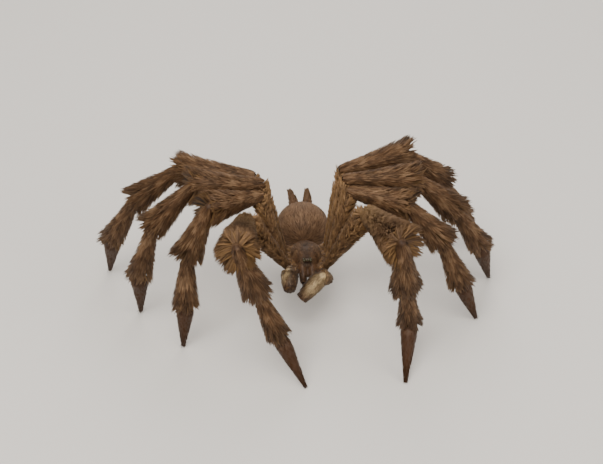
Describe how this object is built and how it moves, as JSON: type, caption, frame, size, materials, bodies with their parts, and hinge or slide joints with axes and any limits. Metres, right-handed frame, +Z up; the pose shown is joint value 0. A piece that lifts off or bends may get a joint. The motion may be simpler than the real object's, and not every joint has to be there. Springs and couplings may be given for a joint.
{
  "type": "young long-legged ground spider, still model",
  "caption": "Life-size still model of a young hairy long-legged ground spider, standing high on its legs with bare dark feet.",
  "frame": {"origin": "on the floor, under the middle of the space that the whole spider takes up", "axes": "+Z up, the spider faces -Y, its left side is +X"},
  "size_m": [0.1214, 0.0673, 0.052],
  "materials": {
    "brown_coat": "matte mottled brown hair",
    "taupe_coat": "matte grey-brown short hair",
    "pale_coat": "matte cream and olive short hair",
    "dark_foot": "smooth dark brown, faint gloss",
    "fang": "polished near black",
    "eye": "wet dark olive"
  },
  "bodies": {
    "root": {"abdomen": "taupe_coat", "chelicera_left": "brown_coat", "chelicera_right": "brown_coat", "eyes": "eye", "fang_left": "fang", "fang_right": "fang", "leg_l1_femur": "brown_coat", "leg_l1_metatarsus": "dark_foot", "leg_l1_patella": "brown_coat", "leg_l1_tarsus": "dark_foot", "leg_l1_tibia": "brown_coat", "leg_l2_femur": "brown_coat", "leg_l2_metatarsus": "dark_foot", "leg_l2_patella": "brown_coat", "leg_l2_tarsus": "dark_foot", "leg_l2_tibia": "brown_coat", "leg_l3_femur": "brown_coat", "leg_l3_metatarsus": "dark_foot", "leg_l3_patella": "brown_coat", "leg_l3_tarsus": "dark_foot", "leg_l3_tibia": "brown_coat", "leg_l4_femur": "brown_coat", "leg_l4_metatarsus": "dark_foot", "leg_l4_patella": "brown_coat", "leg_l4_tarsus": "dark_foot", "leg_l4_tibia": "brown_coat", "leg_r1_femur": "brown_coat", "leg_r1_metatarsus": "dark_foot", "leg_r1_patella": "brown_coat", "leg_r1_tarsus": "dark_foot", "leg_r1_tibia": "brown_coat", "leg_r2_femur": "brown_coat", "leg_r2_metatarsus": "dark_foot", "leg_r2_patella": "brown_coat", "leg_r2_tarsus": "dark_foot", "leg_r2_tibia": "brown_coat", "leg_r3_femur": "brown_coat", "leg_r3_metatarsus": "dark_foot", "leg_r3_patella": "brown_coat", "leg_r3_tarsus": "dark_foot", "leg_r3_tibia": "brown_coat", "leg_r4_femur": "brown_coat", "leg_r4_metatarsus": "dark_foot", "leg_r4_patella": "brown_coat", "leg_r4_tarsus": "dark_foot", "leg_r4_tibia": "brown_coat", "palp_left_femur": "pale_coat", "palp_left_tarsus": "pale_coat", "palp_left_tibia": "pale_coat", "palp_right_femur": "pale_coat", "palp_right_tarsus": "pale_coat", "palp_right_tibia": "pale_coat", "prosoma": "brown_coat", "spinneret_left": "taupe_coat", "spinneret_right": "taupe_coat"}
  },
  "joints": []
}
